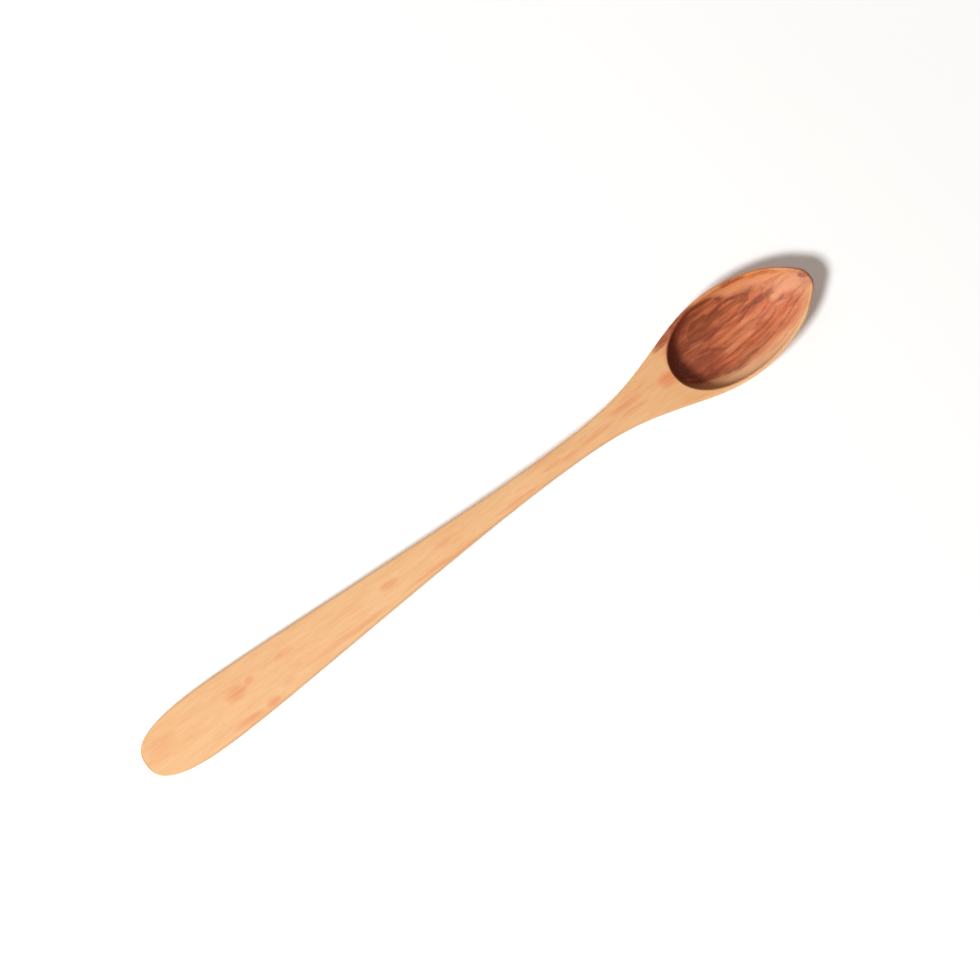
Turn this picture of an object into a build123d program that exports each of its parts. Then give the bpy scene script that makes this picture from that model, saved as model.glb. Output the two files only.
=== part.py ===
"""A long tasting spoon carved from one length of close-grained fruit wood.

The spoon lies along X, butt towards -X and tip towards +X. Z = 0 is the table that it rests on,
and the origin is under the middle of its length. It is shaped in a carver's order: the plan is
sawn out of a board, the top and the underside are cut across it, the edges are softened, and the
bowl is hollowed last. The board starts at the table, so where the underside would dip below it
the spoon keeps a sanded flat to rest on.
"""
import os
from math import cos, pi, sqrt

from build123d import *

os.makedirs("parts", exist_ok=True)

# Lengths along the spoon, in millimetres, from one named place to the next
grip_run = 31.0
taper_run = 156.0
flare_run = 76.5
nose_run = 36.5

# Widths in plan
grip_width = 23.6
neck_width = 8.8
bowl_width = 35.7

# Heights of the top over the table, along the middle of the spoon
butt_top = 6.4
grip_top = 6.7
rim_height = 12.6

# Heights of the underside over the table, along the middle, and how deep the flats are sanded
butt_lift = 0.9
neck_lift = 3.6
sanded_depth = 0.3

# How far the top falls, and how far the underside climbs, from the middle to the edge
grip_crown = 0.9
neck_crown = 1.1
grip_belly = 1.0
neck_belly = 1.8

# The upright band under the rim of the bowl
rim_band = 2.6

# The hollow: the level wood behind its heel, the run of the steep heel wall, the wood left under
# the deepest place, and the rim
heel_landing = 1.6
heel_wall = 8.0
floor_thickness = 3.2
rim_width = 1.2

# The edges: the top's and the lip's broken at a slant, the underside's rounded
top_break = 0.6
lip_break = 0.4
under_round = 1.8

# How far the cutting shapes run past the wood, and the hollow's widest line over the rim
overrun = 3.0
lip_raise = 0.4

# Points of the plan between the named places: share of the run, share of the change of width
butt_shares = ((0.15, 0.69), (0.5, 0.947))
taper_shares = ((0.25, 0.75), (0.62, 0.275))
flare_shares = ((0.38, 0.16), (0.667, 0.615), (0.82, 0.872))
nose_shares = ((0.45, 0.862), (0.76, 0.585), (0.9, 0.36))

# How full the two ends of the plan are, against a plain curve through the same points
end_round_shares = (1.5, 1.3)

# How far back the heel of the hollow lies, from the widest place, as a share of the flare
heel_share = 0.337

# Across the bowl the underside climbs with the square of the width by this share, and with its
# fourth power by the rest. Along the nose the keel climbs with this power of the distance.
square_share = 0.62
keel_power_share = 1.75

# How square the heel of the hollow is in plan, where 2 is an ellipse
heel_square_share = 2.1

# The shaping sections stand between these shares of the plan's edge, closer towards the tip
section_count = 16
first_section_share = 0.118
last_section_share = 0.985
section_spread_share = 1.5
hollow_section_count = 14

# Named places along the spoon, measured from the butt
grip_at = grip_run
neck_at = grip_at + taper_run
bowl_at = neck_at + flare_run
overall_length = bowl_at + nose_run
heel_run = heel_share * flare_run
heel_at = bowl_at - heel_run
level_at = heel_at - heel_landing
hollow_depth = rim_height - floor_thickness
hollow_nose_run = nose_run - rim_width
hollow_tip_at = bowl_at + hollow_nose_run

grip_half = grip_width / 2
neck_half = neck_width / 2
bowl_half = bowl_width / 2
hollow_half_width = bowl_half - rim_width
band_foot = rim_height - rim_band
lip_height = rim_height + lip_raise


def along(distance):
    """The X of a place at a distance from the butt."""
    return distance - overall_length / 2


def across(distance):
    """The plane across the spoon at a distance from the butt, its local Y upward."""
    return Plane(origin=(along(distance), 0, 0), x_dir=(0, 1, 0), z_dir=(1, 0, 0))


def plan_points(start, run, near_half, far_half, shares):
    """Points of the plan's edge at shares of a run, ending with the far one."""
    low, high = sorted((near_half, far_half))
    points = [(along(start + length * run), low + width * (high - low)) for length, width in shares]
    return [*points, (along(start + run), far_half)]


def eased(distance, places):
    """A height that passes through the given places, level at each of them."""
    for (near, near_height), (far, far_height) in zip(places, places[1:]):
        if distance <= far:
            share = max(0, (distance - near) / (far - near))
            return near_height + (far_height - near_height) * share**2 * (3 - 2 * share)
    return places[-1][1]


def top(distance):
    """The top along the middle of the spoon."""
    return eased(distance, [(0, butt_top), (grip_at, grip_top), (level_at, rim_height)])


def crown(distance):
    """How far the top falls from the middle to the edge."""
    return eased(distance, [(grip_at, grip_crown), (neck_at, neck_crown), (level_at, 0)])


def keel(distance):
    """The underside along the middle of the spoon, under the table where it is sanded flat."""
    lowest = -sanded_depth
    if distance <= bowl_at:
        return eased(distance, [(0, butt_lift), (grip_at, lowest), (neck_at, neck_lift), (bowl_at, lowest)])
    return lowest + (band_foot - lowest) * ((distance - bowl_at) / nose_run) ** keel_power_share


def belly(distance):
    """How far the underside climbs from the middle to the edge."""
    hull_belly = band_foot + sanded_depth
    if distance <= bowl_at:
        return eased(distance, [(grip_at, grip_belly), (neck_at, neck_belly), (bowl_at, hull_belly)])
    return max(0, band_foot - keel(distance))


def crown_line(distance, half):
    """The top across the spoon, from beyond one edge to beyond the other."""
    reach = half + overrun
    edge = top(distance) - crown(distance) * (reach / half) ** 2
    return Bezier((-reach, edge), (0, 2 * top(distance) - edge), (reach, edge))


def belly_line(distance, half):
    """The underside across the spoon: nearly flat in the middle and rounder to the edges."""
    reach = half + overrun
    square = belly(distance) * square_share * (reach / half) ** 2
    fourth = belly(distance) * (1 - square_share) * (reach / half) ** 4
    rises = [square + fourth, -fourth, fourth - square / 3, -fourth, square + fourth]
    sides = [-reach, -reach / 2, 0, reach / 2, reach]
    return Bezier(*[(side, keel(distance) + rise) for side, rise in zip(sides, rises)])


def plan_half(distance):
    """Half the width of the plan at a distance from the butt."""
    crossing = Axis((along(distance), 0, 0), (0, 1, 0))
    return plan_edge.find_intersection_points(crossing)[0].Y


def hollow_half(distance):
    """Half the width of the hollow: a rounded heel, then the plan's own nose drawn in by the rim."""
    if distance < bowl_at:
        behind = (bowl_at - distance) / heel_run
        return hollow_half_width * (1 - behind**heel_square_share) ** (1 / heel_square_share)
    same_place = bowl_at + (distance - bowl_at) * nose_run / hollow_nose_run
    return plan_half(same_place) * hollow_half_width / bowl_half


def hollow_floor(distance):
    """The depth of the hollow: a steep heel wall, a level floor, then a long rise to the tip."""
    if distance < bowl_at:
        wall_share = min(1, (distance - heel_at) / heel_wall)
        return hollow_depth * sqrt(1 - (1 - wall_share) ** 2)
    return hollow_depth * (1 - ((distance - bowl_at) / hollow_nose_run) ** 2)


# The plan's edge, one smooth curve from the butt to the tip, and the same mirrored
with BuildLine() as plan:
    plan_edge = Spline(
        (along(0), 0),
        *plan_points(0, grip_run, 0, grip_half, butt_shares),
        *plan_points(grip_at, taper_run, grip_half, neck_half, taper_shares),
        *plan_points(neck_at, flare_run, neck_half, bowl_half, flare_shares),
        *plan_points(bowl_at, nose_run, bowl_half, 0, nose_shares),
        tangents=((0, 1), (0, -1)),
        tangent_scalars=end_round_shares,
    )
    mirror(about=Plane.XZ)
board_face = make_face(plan.edges())

# Where the shaping sections stand: distance from the butt, and half the width of the plan
stations = [(-overrun, grip_half), (grip_at / 2, grip_half)]
for number in range(section_count):
    spread = 1 - (1 - number / (section_count - 1)) ** section_spread_share
    point = plan_edge @ (first_section_share + spread * (last_section_share - first_section_share))
    stations.append((point.X - along(0), point.Y))
stations.append((overall_length + overrun, stations[-1][1]))

# The egg that hollows the bowl, its widest line just over the rim
egg_sections = [Vertex(along(heel_at), 0, lip_height)]
for number in range(1, hollow_section_count):
    spread = (1 - cos(pi * number / hollow_section_count)) / 2
    distance = heel_at + spread * (hollow_tip_at - heel_at)
    with BuildSketch(across(distance)) as egg_section:
        with Locations((0, lip_height)):
            Ellipse(hollow_half(distance), hollow_floor(distance) + lip_raise)
    egg_sections.append(egg_section.sketch.face())
egg_sections.append(Vertex(along(hollow_tip_at), 0, lip_height))

with BuildPart() as spoon:
    # The plan, sawn out of a board
    extrude(board_face, amount=rim_height + overrun)

    # The top: crowned along the handle, level from the heel of the bowl to the tip
    for distance, half in stations:
        with BuildSketch(across(distance)):
            with BuildLine():
                line = crown_line(distance, half)
                over = rim_height + 2 * overrun
                Polyline(line @ 1, (half + overrun, over), (-half - overrun, over), line @ 0)
            make_face()
    loft(mode=Mode.SUBTRACT)

    # The underside: almost flat under the handle, and a rounded hull under the bowl
    for distance, half in stations:
        with BuildSketch(across(distance)):
            with BuildLine():
                line = belly_line(distance, half)
                under = -sanded_depth - 2 * overrun
                Polyline(line @ 1, (half + overrun, under), (-half - overrun, under), line @ 0)
            make_face()
    loft(mode=Mode.SUBTRACT)

    # The edges, all the way round: broken along the top, rounded over along the underside
    top_face = spoon.faces().filter_by(GeomType.BSPLINE).sort_by(Axis.Z)[-1]
    chamfer(top_face.edges(), top_break)
    under_face = spoon.faces().filter_by(GeomType.BSPLINE).sort_by(Axis.Z)[0]
    fillet(under_face.outer_wire().edges(), under_round)

    # The hollow, and its lip broken like the top's edge
    loft(egg_sections, mode=Mode.SUBTRACT)
    rim_face = spoon.faces().filter_by(GeomType.BSPLINE).sort_by(Axis.Z)[-1]
    chamfer(rim_face.inner_wires().edges(), lip_break)

spoon.part.label = "spoon"
export_step(spoon.part, "parts/spoon.step")
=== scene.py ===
"""Wood, table, light and camera for a carved tasting spoon.

The spoon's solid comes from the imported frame. Here it gets its olive wood: pale sapwood in the
handle and the rim, red-brown heartwood in the bowl, with growth lines that run through the whole
piece, so that the figure is the same from above and from below. Places in the wood are in mm from
the spoon's origin: X runs to the tip, Y to the left as one looks at the tip, and Z up.
"""
from math import cos, radians, sin

import bpy
from bpy.props import FloatProperty, FloatVectorProperty, PointerProperty
from mathutils import Matrix, Vector

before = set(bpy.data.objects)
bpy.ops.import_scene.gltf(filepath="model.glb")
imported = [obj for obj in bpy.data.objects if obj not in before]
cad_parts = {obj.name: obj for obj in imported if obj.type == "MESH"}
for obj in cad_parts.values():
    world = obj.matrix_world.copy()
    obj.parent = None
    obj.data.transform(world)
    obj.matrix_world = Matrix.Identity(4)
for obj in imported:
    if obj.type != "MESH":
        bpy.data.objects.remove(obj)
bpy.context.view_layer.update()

bl_info = {
    "name": "Carved spoon bench",
    "version": (1, 0, 0),
    "blender": (4, 5, 0),
    "location": "View3D > Sidebar > Spoon",
    "description": "Finishes a carved wooden spoon and sets it on a white table",
    "category": "Object",
}

SPOON = "spoon"
MM_PER_METRE = 1000.0
WHITE = (1.0, 1.0, 1.0)

# The colour sockets of a Mix node: its two inputs, by place, and its output
MIX_FIRST = "i6"
MIX_SECOND = "i7"
MIX_RESULT = 2

# Warm marks in the pale wood: place along and across, half length, half width, strength
FLECKS = (
    (-108.5, 1.5, 6.0, 3.0, 0.50),
    (-102.4, 2.7, 2.8, 1.6, 0.55),
    (-111.0, -9.2, 9.0, 1.6, 0.50),
    (-99.6, -8.8, 4.0, 2.0, 0.50),
    (-90.5, -6.4, 4.0, 1.6, 0.25),
    (-86.2, 3.0, 5.4, 1.7, 0.42),
    (-141.0, 2.5, 8.0, 5.0, 0.18),
    (-41.4, 0.6, 5.0, 2.0, 0.52),
    (-15.4, 0.9, 7.0, 1.6, 0.34),
    (-62.0, -5.9, 24.0, 1.3, 0.26),
    (-20.0, -5.0, 26.0, 1.0, 0.28),
    (15.0, -3.0, 14.0, 1.0, 0.34),
    (32.3, 0.0, 6.0, 1.3, 0.40),
    (39.6, -1.1, 5.0, 1.0, 0.30),
    (53.0, -0.6, 9.0, 1.5, 0.36),
    (66.5, 1.5, 10.0, 1.6, 0.42),
    (68.0, -1.4, 9.0, 1.3, 0.46),
    (72.0, 4.0, 8.0, 1.2, 0.28),
    (86.0, 0.2, 6.4, 4.4, 0.62),
)

# Where the heartwood bulges up, laid out like the warm marks, with the height in mm at the end
BULGES = (
    # Reaches up the heel wall, where its red is partly the wall's own wood and partly painted shade
    (99.5, 4.0, 16.0, 14.0, 13.0),
    (103.0, 13.0, 20.0, 8.0, 7.0),
    (119.0, -5.0, 22.0, 6.0, 1.2),
    (139.0, -5.5, 14.0, 7.0, 1.3),
)

# Dark veins in the heartwood: one end along and across, the other end, how far the middle sags
# to the left, half width, strength
VEINS = (
    (104.0, 5.8, 127.5, 4.4, 0.8, 1.3, 0.50),
    (118.0, 5.9, 137.5, 4.5, -0.5, 1.5, 0.85),
    (126.0, 3.6, 138.0, 3.4, 0.4, 0.6, 0.40),
    (108.4, 9.0, 130.0, 8.4, 2.6, 1.0, 0.80),
    (99.6, 6.9, 114.5, 6.0, -0.8, 1.2, 0.75),
    (104.8, 1.4, 114.0, 4.9, 1.4, 0.9, 0.60),
    (99.0, 1.2, 111.4, -3.3, 1.4, 1.3, 0.85),
    (96.6, -2.0, 105.0, -3.6, -0.4, 1.2, 0.60),
    (103.0, -6.6, 142.0, -1.8, -1.9, 0.6, 0.38),
    (114.0, -6.0, 139.5, -2.0, -0.2, 0.5, 0.32),
    (105.0, -9.6, 143.5, -3.2, -3.2, 0.7, 0.42),
    (110.0, -8.2, 134.0, -6.4, -1.0, 0.5, 0.34),
    (94.0, -6.6, 117.0, -11.2, -1.6, 1.5, 0.66),
)

# Red streaks in the pale wood of the rim, laid out like the veins
REDS = (
    (85.0, 11.2, 110.0, 17.0, 0.0, 2.3, 1.00),
    (145.4, 3.0, 152.0, -1.8, 0.6, 2.3, 0.95),
    (120.0, 16.2, 131.0, 14.0, 0.4, 1.0, 0.85),
    (131.0, 12.6, 143.0, 7.0, 1.2, 0.8, 0.36),
    (134.0, 8.0, 144.0, 5.6, 0.4, 0.9, 0.40),
    (137.0, -0.7, 148.0, -1.6, 0.3, 0.7, 0.50),
    (136.0, -4.6, 147.0, -2.2, -0.6, 0.7, 0.50),
    (139.0, 5.0, 146.0, 3.4, 0.4, 0.7, 0.34),
    (118.0, -13.6, 140.0, -9.4, -0.9, 0.5, 0.30),
)

# Lighter streaks in the heartwood, and a painted highlight near the tip, laid out like the veins
LIGHTS_AND_HIGHLIGHT = (
    (108.0, -3.7, 124.0, -3.9, 0.2, 1.4, 0.60),
    (99.0, 4.8, 106.0, 4.2, 0.3, 1.3, 0.30),
    (114.0, 1.4, 131.0, 0.2, 0.4, 1.3, 0.40),
    # Painted highlight on the inner wall near the tip, where it faces the light
    (133.0, 1.6, 143.5, 2.0, 0.6, 2.2, 0.90),
    (119.0, -8.4, 138.0, -6.6, -0.9, 1.0, 0.50),
    (126.0, -2.6, 142.0, -0.6, 0.0, 1.0, 0.45),
    (127.0, -8.0, 142.0, -4.6, -0.6, 1.3, 0.50),
    (111.0, -8.8, 128.0, -8.4, -0.5, 1.5, 0.45),
    (111.0, -1.0, 128.0, -1.4, 0.2, 1.3, 0.35),
)

# Noise in the wood: length and width of its patches, detail, roughness, and a shift in its space
WAVER = (7.0, 2.6, 2.0, 0.55, 47.0)
PALE_PATCHES = (20.0, 3.0, 2.0, 0.50, 3.0)
PALE_STREAKS = (8.0, 0.6, 2.0, 0.60, 17.0)
RED_PATCHES = (13.0, 2.6, 2.0, 0.50, 23.0)
RED_STREAKS = (12.0, 0.6, 3.0, 0.60, 29.0)
BROAD_DRIFT = (22.0, 6.0, 1.0, 0.50, 5.0)
FINE_DRIFT = (5.0, 1.5, 2.0, 0.60, 13.0)
BORDER_NOISE = (11.0, 1.6, 2.0, 0.55, 41.0)
SHORT_STREAKS = (4.0, 0.7, 2.0, 0.60, 37.0)
FIBRES = (4.6, 0.22, 2.0, 0.60, 11.0)

# How far that noise shifts the veins, the growth layers and the border of the heartwood, in mm,
# and the share of the layers' drift that the border takes
WAVER_BY = 2.4
BROAD_DRIFT_BY = 4.6
FINE_DRIFT_BY = 0.9
BORDER_NOISE_BY = 2.0
BORDER_DRIFT_SHARE = 0.30

# How strongly patches, streaks and growth layers show in the two woods, and how deep the pale is
PALE_PATCHINESS = 1.3
PALE_STREAKINESS = 1.2
PALE_DEPTH = 0.22
RED_PATCHINESS = 2.1
RED_STREAKINESS = 0.95
LATE_WOOD_DEPTH = 0.55
FLECK_STREAKINESS = 1.6

# How noise breaks up a mask: its own strength, and the level that it plays about
AMBER_BREAKS = (1.0, 0.95)
FLECK_BREAKS = (1.0, 1.0)
LIGHT_BREAKS = (2.0, 0.90)
RED_BREAKS = (1.8, 0.90)
VEIN_BREAKS = (2.2, 0.85)

# Soft steps in the pale wood, along the spoon or across it: where each begins and ends, and its
# values there, which are 0 and 1 if none are given
DEEPER_X = (-40.0, 95.0, 0.0, 0.22)
AMBER_X = (84.0, 104.0)
AMBER_Y = (3.0, 12.0)
AMBER_TIP_X = (126.0, 144.0)
AMBER_TIP_Y = (-6.0, 2.0)
# Palest wood on the bowl's right and near its tip: partly the pale rim, partly painted light that lifts the
# side the key lamp leaves darker
RIM_LIGHT_X = (96.0, 108.0, 0.0, 0.95)
RIM_LIGHT_Y = (-12.0, -5.0, 1.0, 0.0)
RIM_LIGHT_TIP_X = (136.0, 146.0, 0.0, 0.4)

# The same in the heartwood: where it is lighter, darker and browner, how its border sinks at the
# right, the steps over that border, in mm, and the darker red tip, which is painted shade where
# the tip falls away. Its height is told at HEART_X, the widest place of the bowl
LIGHTER_X = (106.0, 128.0, 0.52, 0.76)
DARKER_Y = (2.0, 9.0, 0.0, 0.16)
BROWN_Y = (-3.0, 9.0)
HEART_X = 113.0
SINKING_Y = (-14.0, -8.0, 1.8, 0.0)
HEART_OVER = (-2.5, 0.9, 1.0, 0.0)
BLUSH_OVER = (-0.8, 4.0, 1.0, 0.0)
BLUSH_Y = (-17.0, -13.0, 0.25, 1.0)
TIP_SHADE_X = (141.0, 150.5, 0.0, 0.75)
TIP_SHADE_Y = (-4.0, -1.0)

# Soft steps within one growth layer: its late wood, and the sharp edge after it
LATE_WOOD = (0.35, 0.95)
LAYER_EDGE = (0.93, 1.0, 1.0, 0.0)

# The oval that the painted shade at the heel of the bowl runs round, where the heel wall's shadow
# falls: middle, half length, half width. Then that shade's steps: inside and outside the oval, by
# the square of the distance from its middle, along the spoon, up to the rim, and on the surfaces that face up
HEEL_SHADE_OVAL = (106.0, 3.0, 14.5, 12.5)
HEEL_SHADE_INWARD = (0.50, 0.92, 0.58, 0.95)
HEEL_SHADE_OUTWARD = (1.0, 1.35, 1.0, 0.3)
HEEL_SHADE_START_X = (85.0, 88.0)
HEEL_SHADE_END_X = (99.0, 114.0, 1.0, 0.0)
HEEL_SHADE_Z = (10.0, 12.4, 1.0, 0.0)
SHADE_FACES_UP = (0.0, 0.2)

# The surface: where the darkening of cut fibres begins and ends, by the square of how much the
# surface faces along them, what fibres and streaks do to it, and the oil's gloss
END_FACING = (0.08, 0.75)
FIBRE_SHADE = 0.14
FIBRE_ROUGHNESS = 0.14
STREAK_ROUGHNESS = 0.10
STREAK_HEIGHT = 0.6
WOOD_IOR = 1.46
WOOD_SPECULAR = 0.25

# The power with which a streak fades out at its ends
STREAK_FADE = 4

# The nearest and the farthest that the camera sees, in metres
CLIP_NEAR = 0.01
CLIP_FAR = 20.0


class WoodSettings(bpy.types.PropertyGroup):
    """Colours and figure of the spoon's wood."""

    sapwood: FloatVectorProperty(
        name="Sapwood", description="Pale wood of the grip", subtype="COLOR", min=0, max=1,
        default=(0.860, 0.515, 0.262),
    )
    sapwood_deep: FloatVectorProperty(
        name="Deep sapwood", description="Darker streaks of the pale wood", subtype="COLOR", min=0, max=1,
        default=(0.800, 0.395, 0.165),
    )
    amber: FloatVectorProperty(
        name="Amber", description="Pale wood on the left of the bowl and near its tip", subtype="COLOR",
        min=0, max=1, default=(0.780, 0.262, 0.082),
    )
    # Partly painted light: brighter than the sapwood to lift the bowl's right side
    rim_wood_and_light: FloatVectorProperty(
        name="Rim wood", description="Palest wood, on the right of the bowl", subtype="COLOR", min=0, max=1,
        default=(1.000, 0.600, 0.330),
    )
    warm_mark: FloatVectorProperty(
        name="Warm marks", description="Small orange flecks in the pale wood", subtype="COLOR", min=0, max=1,
        default=(0.780, 0.245, 0.100),
    )
    # Also the colour of the painted highlight near the tip
    blush_and_highlight: FloatVectorProperty(
        name="Blush", description="Pinkish wood where the heartwood begins, and its light streaks",
        subtype="COLOR", min=0, max=1, default=(0.760, 0.320, 0.160),
    )
    heartwood: FloatVectorProperty(
        name="Heartwood", description="Red-brown wood of the bowl", subtype="COLOR", min=0, max=1,
        default=(0.345, 0.079, 0.034),
    )
    heartwood_light: FloatVectorProperty(
        name="Light heartwood", description="Lighter layers in the heartwood", subtype="COLOR", min=0, max=1,
        default=(0.670, 0.193, 0.081),
    )
    # The vein colour also paints the shade at the heel of the bowl
    vein_and_heel_shade: FloatVectorProperty(
        name="Veins", description="Darkest growth lines, and the dark wood at the heel", subtype="COLOR",
        min=0, max=1, default=(0.215, 0.045, 0.022),
    )
    heartwood_brown: FloatVectorProperty(
        name="Brown heartwood", description="Browner wood on the left of the bowl", subtype="COLOR",
        min=0, max=1, default=(0.275, 0.070, 0.025),
    )
    layer_step: FloatProperty(
        name="Growth layer", description="Thickness of one growth layer", unit="LENGTH", default=0.0021,
    )
    layer_tilt: FloatProperty(
        name="Layer tilt", description="Tilt of the growth layers about the fibres", unit="ROTATION",
        default=radians(37),
    )
    heart_height: FloatProperty(
        name="Heartwood height", description="Height of the heartwood under the middle of the bowl",
        unit="LENGTH", default=0.0070,
    )
    heart_rise: FloatProperty(
        name="Heartwood rise", description="Climb of the heartwood towards the tip", unit="ROTATION",
        default=radians(5.0),
    )
    end_grain: FloatProperty(
        name="End grain", description="How much darker the wood is where its fibres are cut across",
        min=0, max=1, default=0.50,
    )
    roughness: FloatProperty(
        name="Roughness", description="Roughness of the oiled surface", min=0, max=1, default=0.48,
    )
    pore_depth: FloatProperty(
        name="Pore depth", description="Depth of the pores and fibres", unit="LENGTH", default=0.00006,
    )


class StageSettings(bpy.types.PropertyGroup):
    """The white table, the lamps and the camera over it."""

    table_side: FloatProperty(
        name="Table", description="Side of the table top", unit="LENGTH", default=6.0,
    )
    table_colour: FloatVectorProperty(
        name="Table colour", description="Colour of the table top", subtype="COLOR", min=0, max=1,
        default=(0.950, 0.975, 0.990),
    )
    table_glow: FloatProperty(
        name="Table glow", description="Light added to the table where the camera sees it", default=0.155,
    )
    fade_start: FloatProperty(
        name="Fade start", description="How far from the spoon's middle the table begins to turn plain white",
        unit="LENGTH", default=0.16,
    )
    fade_end: FloatProperty(
        name="Fade end", description="How far from the spoon's middle the table is plain white",
        unit="LENGTH", default=0.42,
    )
    ambient: FloatProperty(
        name="Ambient", description="Strength of the light from all round", default=0.165,
    )
    ambient_colour: FloatVectorProperty(
        name="Ambient colour", description="Colour of the light from all round", subtype="COLOR",
        min=0, max=1, default=(1.0, 0.86, 0.76),
    )
    key_power: FloatProperty(
        name="Key power", description="Power of the key lamp", unit="POWER", default=61.0,
    )
    key_side: FloatProperty(
        name="Key size", description="Side of the key softbox", unit="LENGTH", default=0.50,
    )
    key_away: FloatProperty(
        name="Key distance", description="Key to spoon", unit="LENGTH", default=2.4,
    )
    key_bearing: FloatProperty(
        name="Key bearing", description="Direction of the key lamp from the tip's axis", unit="ROTATION",
        default=radians(190),
    )
    key_height: FloatProperty(
        name="Key height", description="Angle of the key lamp over the table", unit="ROTATION",
        default=radians(50.3),
    )
    fill_power: FloatProperty(
        name="Fill power", description="Power of the fill lamp", unit="POWER", default=1.2,
    )
    fill_side: FloatProperty(
        name="Fill size", description="Side of the fill softbox", unit="LENGTH", default=1.2,
    )
    fill_away: FloatProperty(
        name="Fill distance", description="Fill to spoon", unit="LENGTH", default=1.8,
    )
    fill_bearing: FloatProperty(
        name="Fill bearing", description="Direction of the fill lamp from the tip's axis", unit="ROTATION",
        default=radians(98),
    )
    fill_height: FloatProperty(
        name="Fill height", description="Angle of the fill lamp over the table", unit="ROTATION",
        default=radians(48),
    )
    lens: FloatProperty(name="Lens", description="Focal length in mm", default=85.0)
    sensor: FloatProperty(name="Sensor", description="Sensor width in mm", default=36.0)
    camera_away: FloatProperty(
        name="Camera distance", description="Camera to aim", unit="LENGTH", default=0.845,
    )
    camera_height: FloatProperty(
        name="Camera angle", description="Angle of the camera over the table", unit="ROTATION",
        default=radians(84),
    )
    camera_roll: FloatProperty(
        name="Spoon slant", description="Slant of the spoon in the picture", unit="ROTATION",
        default=radians(36.44),
    )
    aim: FloatVectorProperty(
        name="Aim", description="Point that the camera looks at", subtype="XYZ", unit="LENGTH",
        default=(0.0091, 0.00655, 0.0060),
    )


class Tone:
    """A value that varies over the wood. Arithmetic on it adds the nodes that work it out."""

    def __init__(self, tree, socket):
        self.tree = tree
        self.socket = socket

    def math(self, operation, *values):
        """A Math node on this value and others."""
        links = {f"i{number}": value for number, value in enumerate((self, *values))}
        return add_node(self.tree, "Math", {"operation": operation}, **links)

    def __add__(self, other):
        return self.math("ADD", other)

    def __sub__(self, other):
        return self.math("SUBTRACT", other)

    def __rsub__(self, other):
        return add_node(self.tree, "Math", {"operation": "SUBTRACT"}, i0=other, i1=self)

    def __mul__(self, other):
        return self.math("MULTIPLY", other)

    def __truediv__(self, other):
        return self.math("DIVIDE", other)

    def __pow__(self, other):
        return self.math("POWER", other)

    __radd__ = __add__
    __rmul__ = __mul__

    def clamped(self):
        """The value kept between 0 and 1."""
        return add_node(self.tree, "Clamp", Value=self)

    def step(self, low, high, start=0.0, end=1.0):
        """A soft step from start to end, as the value goes from low to high."""
        kind = {"interpolation_type": "SMOOTHSTEP"}
        spread = {"From_Min": low, "From_Max": high, "To_Min": start, "To_Max": end}
        return add_node(self.tree, "MapRange", kind, Value=self, **spread)


def add_node(tree, kind, settings=(), output=0, **inputs):
    """Adds a shader node: settings first, then its sockets by name, or by place as i0, i1, i2.

    It gives one of the node's outputs, by name or place, or nothing where the node has none.
    """
    made = tree.nodes.new("ShaderNode" + kind)
    for name, value in dict(settings).items():
        setattr(made, name, value)
    for name, value in inputs.items():
        if name[0] == "i" and name[1:].isdigit():
            socket = made.inputs[int(name[1:])]
        else:
            socket = made.inputs[name.replace("_", " ")]
        if isinstance(value, Tone):
            tree.links.new(value.socket, socket)
        else:
            socket.default_value = value
    return Tone(tree, made.outputs[output]) if len(made.outputs) else None


def blend(tree, share, first, second, mode="MIX"):
    """A colour between two others, each a Tone or plain red, green, blue."""
    settings = {"data_type": "RGBA", "blend_type": mode}
    inputs = {"i0": share}
    for place, colour in ((MIX_FIRST, first), (MIX_SECOND, second)):
        inputs[place] = colour if isinstance(colour, Tone) else (*colour, 1.0)
    return add_node(tree, "Mix", settings, MIX_RESULT, **inputs)


def strongest(masks):
    """The strongest of several masks at each place."""
    best = masks[0]
    for mask in masks[1:]:
        best = best.math("MAXIMUM", mask)
    return best


def broken(mask, noise, breaks):
    """A mask broken up by noise about 0."""
    strength, level = breaks
    return (mask * (noise * strength + level)).clamped()


def empty_material(name):
    """A material without any node yet."""
    material = bpy.data.materials.new(name)
    material.use_nodes = True
    material.node_tree.nodes.clear()
    return material


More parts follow.
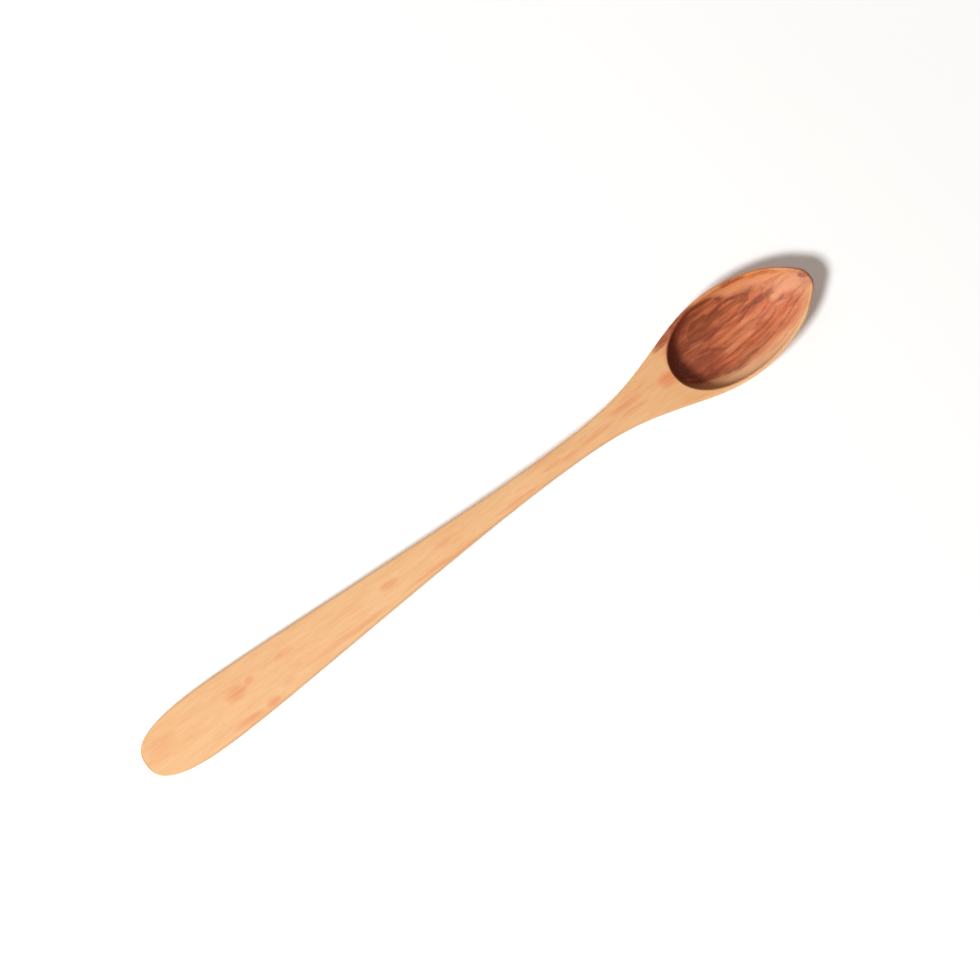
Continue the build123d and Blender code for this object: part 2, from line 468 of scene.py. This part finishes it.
class Block:
    """The block of wood that the spoon is cut from, with its fibres along X and places in mm."""

    def __init__(self, tree):
        self.tree = tree
        metres = add_node(tree, "TexCoord", output="Object")
        scaling = {"operation": "SCALE"}
        self.place = add_node(tree, "VectorMath", scaling, Vector=metres, Scale=MM_PER_METRE)
        self.x, self.y, self.z = self.parts(self.place)

        # How much the surface faces along the fibres, and how much it faces up
        self.facing, _, self.upward = self.parts(add_node(tree, "TexCoord", output="Normal"))

        # The place across the spoon, wavering as the veins and streaks do
        self.line_y = self.y + self.noise(WAVER) * WAVER_BY

    def parts(self, vector):
        """The X, Y and Z of a vector."""
        return [add_node(self.tree, "SeparateXYZ", output=axis, Vector=vector) for axis in "XYZ"]

    def noise(self, grain):
        """Noise about 0, from -0.5 to 0.5, longer along the fibres than across them."""
        length, width, detail, rough, shift = grain
        scale = (1 / length, 1 / width, 1 / width)
        moved = add_node(self.tree, "Mapping", Vector=self.place, Scale=scale, Location=(shift,) * 3)
        noise = add_node(self.tree, "TexNoise", Vector=moved, Scale=1.0, Detail=detail, Roughness=rough)
        return noise - 0.5

    def oval(self, along, across, length, width):
        """The square of how far a place is from the middle of an oval, 1 on its edge."""
        ahead = (self.x - along) / length
        aside = (self.y - across) / width
        return ahead * ahead + aside * aside

    def fleck(self, mark):
        """A soft oval spot that lies along the grain."""
        *oval, strength = mark
        return self.oval(*oval).step(0.0, 1.0, strength, 0.0)

    def streak(self, line):
        """A soft line between two ends, bowed by its sag, that fades out at both ends."""
        start, start_side, end, end_side, sag, width, strength = line
        share = (self.x - start) / (end - start)

        # A parabola that is nothing at both ends and the sag in the middle
        bow = (share - share * share) * (4 * sag)
        aside = (self.line_y - share * (end_side - start_side) - bow - start_side) / width
        ends = (share * 2 - 1) ** STREAK_FADE
        return (aside * aside + ends).step(0.0, 1.0, strength, 0.0)


def pale_wood(block, wood):
    """Sapwood: fine streaks and warm flecks, amber on the bowl's left, and palest on its right, partly
    painted light there.
    """
    patches = block.noise(PALE_PATCHES)
    streaks = block.noise(PALE_STREAKS)
    deep = block.x.step(*DEEPER_X) + patches * PALE_PATCHINESS + streaks * PALE_STREAKINESS + PALE_DEPTH
    pale = blend(block.tree, deep.clamped(), wood.sapwood, wood.sapwood_deep)
    left = block.y.step(*AMBER_Y) * block.x.step(*AMBER_X)
    left = left.math("MAXIMUM", block.x.step(*AMBER_TIP_X) * block.y.step(*AMBER_TIP_Y))
    pale = blend(block.tree, broken(left, patches, AMBER_BREAKS), pale, wood.amber)
    # Palest on the right and near the tip, partly painted light
    right = block.y.step(*RIM_LIGHT_Y).math("MAXIMUM", block.x.step(*RIM_LIGHT_TIP_X))
    pale = blend(block.tree, right * block.x.step(*RIM_LIGHT_X), pale, wood.rim_wood_and_light)
    flecks = strongest([block.fleck(mark) for mark in FLECKS])
    flecks = broken(flecks, streaks * FLECK_STREAKINESS + patches, FLECK_BREAKS)
    return blend(block.tree, flecks, pale, wood.warm_mark)


def red_wood(block, wood, drift):
    """Heartwood: tilted growth layers, each darkening to a sharp edge, with fine and light streaks and a
    painted highlight near the tip.
    """
    patches = block.noise(RED_PATCHES)
    streaks = block.noise(RED_STREAKS)
    depth = block.z * cos(wood.layer_tilt) - block.y * sin(wood.layer_tilt) + drift
    layer = (depth / (wood.layer_step * MM_PER_METRE)).math("FRACT")
    late = layer.step(*LATE_WOOD) * layer.step(*LAYER_EDGE)
    lean = block.x.step(*LIGHTER_X) - block.y.step(*DARKER_Y)
    light = patches * RED_PATCHINESS + streaks * RED_STREAKINESS - late * LATE_WOOD_DEPTH + lean
    brown = blend(block.tree, block.y.step(*BROWN_Y), wood.heartwood, wood.heartwood_brown)
    red = blend(block.tree, light.clamped(), brown, wood.heartwood_light)
    lights = strongest([block.streak(line) for line in LIGHTS_AND_HIGHLIGHT])
    return blend(block.tree, broken(lights, streaks, LIGHT_BREAKS), red, wood.blush_and_highlight)


def painted_heel_shade(block):
    """Painted shade round the foot of the heel, where the heel wall's shadow falls, and lighter painted shade
    on the floor before it.
    """
    ring = block.oval(*HEEL_SHADE_OVAL)
    shade = ring.step(*HEEL_SHADE_INWARD) * ring.step(*HEEL_SHADE_OUTWARD)
    inside = block.upward.step(*SHADE_FACES_UP) * block.z.step(*HEEL_SHADE_Z)
    return shade * inside * block.x.step(*HEEL_SHADE_START_X) * block.x.step(*HEEL_SHADE_END_X)


def olive_wood(name, wood):
    """The spoon's wood: pale and red wood of one block, whichever way it is cut."""
    material = empty_material(name)
    tree = material.node_tree
    block = Block(tree)
    drift = block.noise(BROAD_DRIFT) * BROAD_DRIFT_BY + block.noise(FINE_DRIFT) * FINE_DRIFT_BY
    streaks = block.noise(SHORT_STREAKS)
    pale = pale_wood(block, wood)
    red = red_wood(block, wood, drift)

    # The border of the heartwood climbs to the tip, bulges at the heel and sinks at the right
    border = (block.x - HEART_X) * sin(wood.heart_rise) + wood.heart_height * MM_PER_METRE
    bulge = strongest([block.fleck(mark) for mark in BULGES])
    wander = drift * BORDER_DRIFT_SHARE + block.noise(BORDER_NOISE) * BORDER_NOISE_BY
    over = block.z - border - bulge + block.y.step(*SINKING_Y) + wander
    blushing = over.step(*BLUSH_OVER) * block.y.step(*BLUSH_Y)
    colour = blend(tree, blushing, pale, wood.blush_and_highlight)
    colour = blend(tree, over.step(*HEART_OVER), colour, red)

    # Red streaks and a red tip of painted shade, then the dark veins and the painted shade at the heel
    reds_and_tip_shade = strongest([block.streak(line) for line in REDS])
    # The red tip is painted shade where the tip falls away
    reds_and_tip_shade = reds_and_tip_shade.math("MAXIMUM", block.x.step(*TIP_SHADE_X) * block.y.step(*TIP_SHADE_Y))
    colour = blend(tree, broken(reds_and_tip_shade, streaks, RED_BREAKS), colour, wood.heartwood)
    veins_and_heel_shade = strongest([*(block.streak(line) for line in VEINS), painted_heel_shade(block)])
    colour = blend(tree, broken(veins_and_heel_shade, streaks, VEIN_BREAKS), colour, wood.vein_and_heel_shade)

    # Fine fibres, and darker wood where they are cut across
    fibres = block.noise(FIBRES)
    across = (block.facing * block.facing).step(*END_FACING, 0.0, wood.end_grain)
    shade = (fibres * FIBRE_SHADE + 1.0) * (1 - across)
    grey = add_node(tree, "CombineXYZ", X=shade, Y=shade, Z=shade)
    colour = blend(tree, 1.0, colour, grey, "MULTIPLY")

    rough = fibres * FIBRE_ROUGHNESS + streaks * STREAK_ROUGHNESS + wood.roughness
    height = fibres + streaks * STREAK_HEIGHT
    bump = add_node(tree, "Bump", Strength=1.0, Distance=wood.pore_depth, Height=height)
    shader = add_node(
        tree, "BsdfPrincipled", Base_Color=colour, Roughness=rough, Normal=bump, IOR=WOOD_IOR,
        Specular_IOR_Level=WOOD_SPECULAR,
    )
    add_node(tree, "OutputMaterial", Surface=shader)
    return material


def turned(bearing, height):
    """The unit vector towards a bearing in the table's plane and a height over it."""
    return Vector((cos(bearing) * cos(height), sin(bearing) * cos(height), sin(height)))


def softbox(name, place, side, power):
    """A square lamp that faces the spoon's origin."""
    lamp = bpy.data.lights.new(name, "AREA")
    lamp.shape = "SQUARE"
    lamp.size = side
    lamp.energy = power
    holder = bpy.data.objects.new(name, lamp)
    bpy.context.scene.collection.objects.link(holder)
    holder.location = place
    holder.rotation_mode = "QUATERNION"
    holder.rotation_quaternion = (-place).to_track_quat("-Z", "Y")


class SPOON_OT_finish_wood(bpy.types.Operator):
    """Gives the spoon its olive wood"""

    bl_idname = "spoon.finish_wood"
    bl_label = "Finish the wood"

    def execute(self, context):
        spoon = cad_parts.get(SPOON)
        if spoon is None:
            raise RuntimeError("The frame holds no spoon to finish")
        material = olive_wood("olive_wood", context.scene.spoon_wood)
        spoon.data.materials.clear()
        spoon.data.materials.append(material)
        return {"FINISHED"}


class SPOON_OT_set_stage(bpy.types.Operator):
    """Sets the white table, the lamps and the camera"""

    bl_idname = "spoon.set_stage"
    bl_label = "Set the stage"

    def execute(self, context):
        stage = context.scene.spoon_stage
        if stage.table_side <= 0:
            raise RuntimeError("The table has no size")
        self.lay_table(context, stage)
        self.hang_lamps(context, stage)
        self.place_camera(context, stage)
        context.scene.view_settings.view_transform = "Standard"
        return {"FINISHED"}

    def lay_table(self, context, stage):
        """A plain white table top under the spoon, that fades to pure white away from it."""
        half = stage.table_side / 2
        mesh = bpy.data.meshes.new("table_top")
        corners = [(-half, -half, 0), (half, -half, 0), (half, half, 0), (-half, half, 0)]
        mesh.from_pydata(corners, [], [(0, 1, 2, 3)])
        table = bpy.data.objects.new("table_top", mesh)
        context.scene.collection.objects.link(table)
        material = empty_material("white_table")
        tree = material.node_tree
        paper = add_node(tree, "BsdfDiffuse", Color=(*stage.table_colour, 1.0))
        seen = add_node(tree, "LightPath", output="Is Camera Ray")
        warm = (*stage.ambient_colour, 1.0)
        glow = add_node(tree, "Emission", Color=warm, Strength=seen * stage.table_glow)
        lit = add_node(tree, "AddShader", i0=paper, i1=glow)
        place = add_node(tree, "TexCoord", output="Object")
        far = add_node(tree, "VectorMath", {"operation": "LENGTH"}, output="Value", Vector=place)
        fade = far.step(stage.fade_start, stage.fade_end) * seen
        white = add_node(tree, "Emission", Color=(*WHITE, 1.0), Strength=1.0)
        faded = add_node(tree, "MixShader", i0=fade, i1=lit, i2=white)
        add_node(tree, "OutputMaterial", Surface=faded)
        mesh.materials.append(material)

    def hang_lamps(self, context, stage):
        """Light from all round, a key softbox off the butt end, and a wide fill at the left."""
        world = bpy.data.worlds.new("studio")
        world.use_nodes = True
        tree = world.node_tree
        tree.nodes.clear()
        rays = ("Is Camera Ray", "Is Glossy Ray", "Is Transmission Ray")
        direct, glossy, through = [add_node(tree, "LightPath", output=ray) for ray in rays]
        seen = (direct + glossy + through).clamped()
        strength = seen * (1.0 - stage.ambient) + stage.ambient
        colour = blend(tree, seen, stage.ambient_colour, WHITE)
        background = add_node(tree, "Background", Color=colour, Strength=strength)
        add_node(tree, "OutputWorld", Surface=background)
        context.scene.world = world
        key_place = turned(stage.key_bearing, stage.key_height) * stage.key_away
        softbox("key_lamp", key_place, stage.key_side, stage.key_power)
        fill_place = turned(stage.fill_bearing, stage.fill_height) * stage.fill_away
        softbox("fill_lamp", fill_place, stage.fill_side, stage.fill_power)

    def place_camera(self, context, stage):
        """A camera high over the table, turned so that the spoon lies on the slant."""
        slant = stage.camera_roll
        right = Vector((cos(slant), -sin(slant), 0))
        up_table = Vector((sin(slant), cos(slant), 0))
        back = Vector((0, 0, 1)) * sin(stage.camera_height) - up_table * cos(stage.camera_height)
        up = back.cross(right)
        camera = bpy.data.cameras.new("camera")
        camera.lens = stage.lens
        camera.sensor_width = stage.sensor
        camera.clip_start = CLIP_NEAR
        camera.clip_end = CLIP_FAR
        holder = bpy.data.objects.new("camera", camera)
        context.scene.collection.objects.link(holder)
        turn = Matrix((right, up, back)).transposed().to_4x4()
        holder.matrix_world = Matrix.Translation(Vector(stage.aim) + back * stage.camera_away) @ turn
        context.scene.camera = holder


class SPOON_PT_bench(bpy.types.Panel):
    """Everything that the spoon's scene is made of"""

    bl_idname = "SPOON_PT_bench"
    bl_label = "Carved spoon"
    bl_space_type = "VIEW_3D"
    bl_region_type = "UI"
    bl_category = "Spoon"

    def draw(self, context):
        for title, settings, operator in (
            ("Wood", context.scene.spoon_wood, SPOON_OT_finish_wood.bl_idname),
            ("Stage", context.scene.spoon_stage, SPOON_OT_set_stage.bl_idname),
        ):
            box = self.layout.box()
            box.label(text=title)
            for name in settings.__annotations__:
                box.prop(settings, name)
            box.operator(operator)


CLASSES = (WoodSettings, StageSettings, SPOON_OT_finish_wood, SPOON_OT_set_stage, SPOON_PT_bench)


def register():
    """Registers the classes and hangs the two groups of settings on the scene."""
    for made in CLASSES:
        bpy.utils.register_class(made)
    bpy.types.Scene.spoon_wood = PointerProperty(type=WoodSettings)
    bpy.types.Scene.spoon_stage = PointerProperty(type=StageSettings)


def unregister():
    """Takes the settings and the classes away again."""
    del bpy.types.Scene.spoon_stage
    del bpy.types.Scene.spoon_wood
    for made in reversed(CLASSES):
        bpy.utils.unregister_class(made)


def main():
    register()
    bpy.ops.spoon.finish_wood()
    bpy.ops.spoon.set_stage()


if __name__ == "__main__":
    main()
